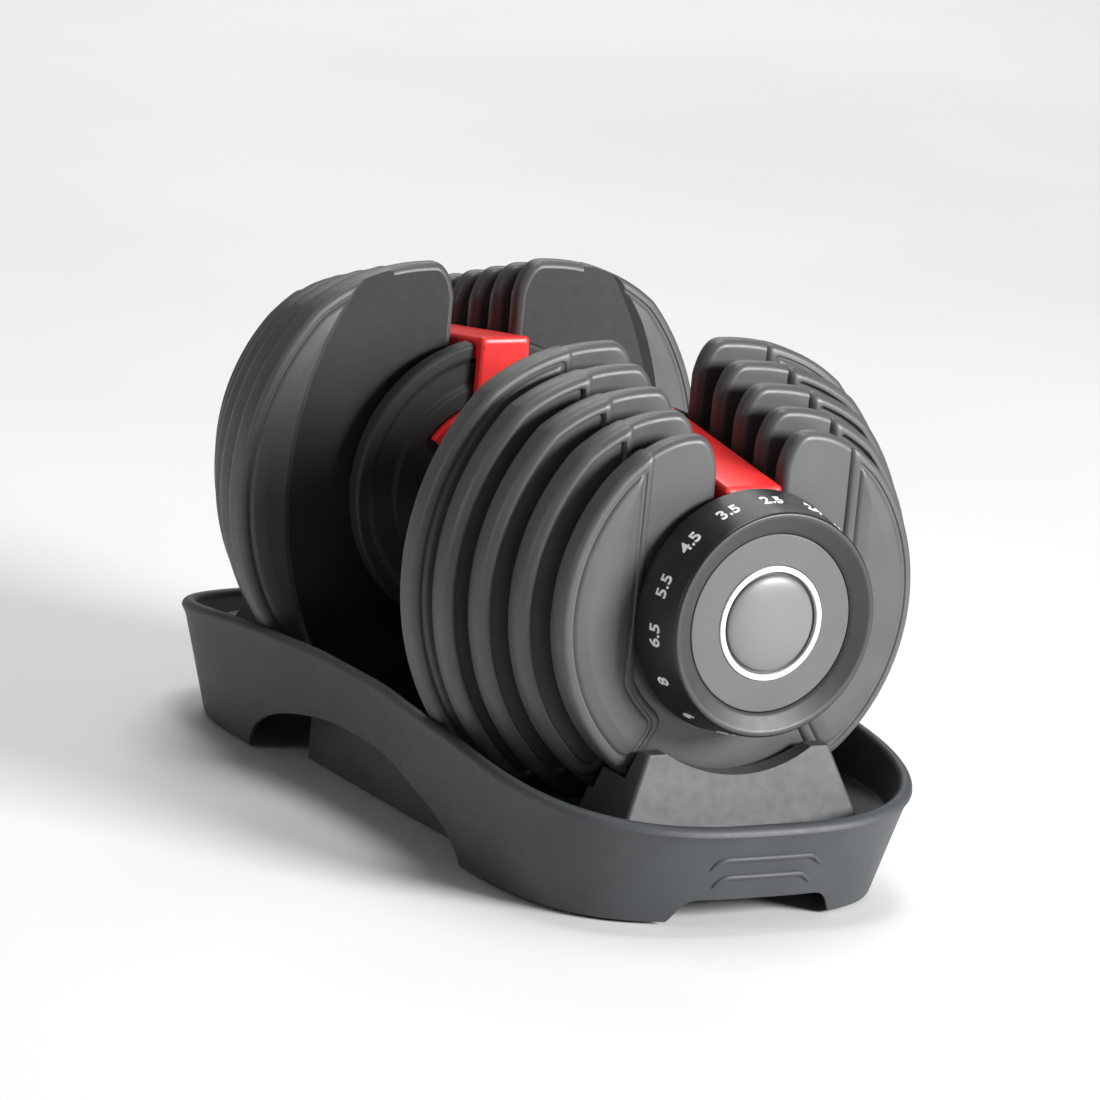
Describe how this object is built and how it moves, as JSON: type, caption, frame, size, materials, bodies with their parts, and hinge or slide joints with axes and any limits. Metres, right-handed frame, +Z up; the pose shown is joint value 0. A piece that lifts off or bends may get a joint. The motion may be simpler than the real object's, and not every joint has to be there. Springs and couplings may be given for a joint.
{
  "type": "adjustable dumbbell",
  "caption": "Dial-selected adjustable dumbbell with horned weight plates, resting in its own plastic storage tray; the dials turn and the dumbbell lifts out.",
  "frame": {"origin": "on the standing surface, under the middle of the grip", "axes": "+Y along the dumbbell's axis towards the rear dial, +Z up, +X across, to the right seen from the front dial"},
  "size_m": [0.234, 0.412, 0.226],
  "materials": {
    "tray": "fine moulded texture, slate grey",
    "foot_rubber": "matt black rubber",
    "steel": "ground",
    "grip_rubber": "ribbed matt black rubber",
    "flange": "matt black paint",
    "bronze": "plain bearing bronze",
    "bridge": "satin red",
    "dial": "satin black with white numbers",
    "dial_face": "fine matt grey",
    "trim": "white",
    "cap": "satin grey",
    "selector_disc": "black moulding",
    "plate": "charcoal moulded coat"
  },
  "bodies": {
    "tray": {"storage_tray": "tray", "tray_foot_front_left": "foot_rubber", "tray_foot_front_right": "foot_rubber", "tray_foot_rear_left": "foot_rubber", "tray_foot_rear_right": "foot_rubber"},
    "handle": {"handle_tube": "steel", "grip_sleeve": "grip_rubber", "inner_flange_front": "flange", "shaft_bushing_front": "bronze", "selector_bridge_front": "bridge", "lock_spring_front": "steel", "detent_spring_front": "steel", "inner_flange_rear": "flange", "shaft_bushing_rear": "bronze", "selector_bridge_rear": "bridge", "lock_spring_rear": "steel", "detent_spring_rear": "steel"},
    "dial_front": {"selector_shaft_front": "steel", "selector_disc_1_front": "selector_disc", "selector_disc_2_front": "selector_disc", "selector_disc_3_front": "selector_disc", "selector_disc_4_front": "selector_disc", "selector_disc_5_front": "selector_disc", "dial_ring_front": "dial", "dial_face_front": "dial_face", "dial_trim_ring_front": "trim", "dial_cap_front": "cap", "end_screw_front": "steel"},
    "lock_pin_front": {"lock_pin_front": "steel"},
    "detent_front": {"detent_plunger_front": "steel"},
    "plate_1_front": {"weight_plate_1_front": "plate"},
    "plate_2_front": {"weight_plate_2_front": "plate"},
    "plate_3_front": {"weight_plate_3_front": "plate"},
    "plate_4_front": {"weight_plate_4_front": "plate"},
    "plate_5_front": {"weight_plate_5_front": "plate"},
    "dial_rear": {"selector_shaft_rear": "steel", "selector_disc_1_rear": "selector_disc", "selector_disc_2_rear": "selector_disc", "selector_disc_3_rear": "selector_disc", "selector_disc_4_rear": "selector_disc", "selector_disc_5_rear": "selector_disc", "dial_ring_rear": "dial", "dial_face_rear": "dial_face", "dial_trim_ring_rear": "trim", "dial_cap_rear": "cap", "end_screw_rear": "steel"},
    "lock_pin_rear": {"lock_pin_rear": "steel"},
    "detent_rear": {"detent_plunger_rear": "steel"},
    "plate_1_rear": {"weight_plate_1_rear": "plate"},
    "plate_2_rear": {"weight_plate_2_rear": "plate"},
    "plate_3_rear": {"weight_plate_3_rear": "plate"},
    "plate_4_rear": {"weight_plate_4_rear": "plate"},
    "plate_5_rear": {"weight_plate_5_rear": "plate"}
  },
  "joints": [
    {"name": "handle_lift", "type": "slide", "parent": "tray", "child": "handle", "axis": [0, 0, 1], "range_m": [0, 0.15]},
    {"name": "dial_front_turn", "type": "hinge", "parent": "handle", "child": "dial_front", "pos_m": [0, -0.175, 0.128], "axis": [0, -1, 0], "continuous": true},
    {"name": "lock_pin_front_drop", "type": "slide", "parent": "handle", "child": "lock_pin_front", "axis": [0, 0, -1], "range_m": [0, 0.006], "deforming": ["lock_spring_front"]},
    {"name": "detent_front_press", "type": "slide", "parent": "handle", "child": "detent_front", "axis": [0, 1, 0], "range_m": [0, 0.001], "stiffness_N_per_m": 400, "springref_m": -0.0005, "deforming": ["detent_spring_front"]},
    {"name": "plate_1_front_lift", "type": "slide", "parent": "tray", "child": "plate_1_front", "axis": [0, 0, 1], "range_m": [0, 0.15]},
    {"name": "plate_2_front_lift", "type": "slide", "parent": "tray", "child": "plate_2_front", "axis": [0, 0, 1], "range_m": [0, 0.15]},
    {"name": "plate_3_front_lift", "type": "slide", "parent": "tray", "child": "plate_3_front", "axis": [0, 0, 1], "range_m": [0, 0.15]},
    {"name": "plate_4_front_lift", "type": "slide", "parent": "tray", "child": "plate_4_front", "axis": [0, 0, 1], "range_m": [0, 0.15]},
    {"name": "plate_5_front_lift", "type": "slide", "parent": "tray", "child": "plate_5_front", "axis": [0, 0, 1], "range_m": [0, 0.15]},
    {"name": "dial_rear_turn", "type": "hinge", "parent": "handle", "child": "dial_rear", "pos_m": [0, 0.175, 0.128], "axis": [0, 1, 0], "continuous": true},
    {"name": "lock_pin_rear_drop", "type": "slide", "parent": "handle", "child": "lock_pin_rear", "axis": [0, 0, -1], "range_m": [0, 0.006], "deforming": ["lock_spring_rear"]},
    {"name": "detent_rear_press", "type": "slide", "parent": "handle", "child": "detent_rear", "axis": [0, -1, 0], "range_m": [0, 0.001], "stiffness_N_per_m": 400, "springref_m": -0.0005, "deforming": ["detent_spring_rear"]},
    {"name": "plate_1_rear_lift", "type": "slide", "parent": "tray", "child": "plate_1_rear", "axis": [0, 0, 1], "range_m": [0, 0.15]},
    {"name": "plate_2_rear_lift", "type": "slide", "parent": "tray", "child": "plate_2_rear", "axis": [0, 0, 1], "range_m": [0, 0.15]},
    {"name": "plate_3_rear_lift", "type": "slide", "parent": "tray", "child": "plate_3_rear", "axis": [0, 0, 1], "range_m": [0, 0.15]},
    {"name": "plate_4_rear_lift", "type": "slide", "parent": "tray", "child": "plate_4_rear", "axis": [0, 0, 1], "range_m": [0, 0.15]},
    {"name": "plate_5_rear_lift", "type": "slide", "parent": "tray", "child": "plate_5_rear", "axis": [0, 0, 1], "range_m": [0, 0.15]}
  ],
  "couplings": [
    {"joint": "lock_pin_front_drop", "follows": "handle_lift", "ratio": 0.04},
    {"joint": "plate_1_front_lift", "follows": "handle_lift", "ratio": 1},
    {"joint": "plate_2_front_lift", "follows": "handle_lift", "ratio": 1},
    {"joint": "plate_3_front_lift", "follows": "handle_lift", "ratio": 1},
    {"joint": "plate_4_front_lift", "follows": "handle_lift", "ratio": 1},
    {"joint": "plate_5_front_lift", "follows": "handle_lift", "ratio": 1},
    {"joint": "lock_pin_rear_drop", "follows": "handle_lift", "ratio": 0.04},
    {"joint": "plate_1_rear_lift", "follows": "handle_lift", "ratio": 1},
    {"joint": "plate_2_rear_lift", "follows": "handle_lift", "ratio": 1},
    {"joint": "plate_3_rear_lift", "follows": "handle_lift", "ratio": 1},
    {"joint": "plate_4_rear_lift", "follows": "handle_lift", "ratio": 1},
    {"joint": "plate_5_rear_lift", "follows": "handle_lift", "ratio": 1}
  ]
}
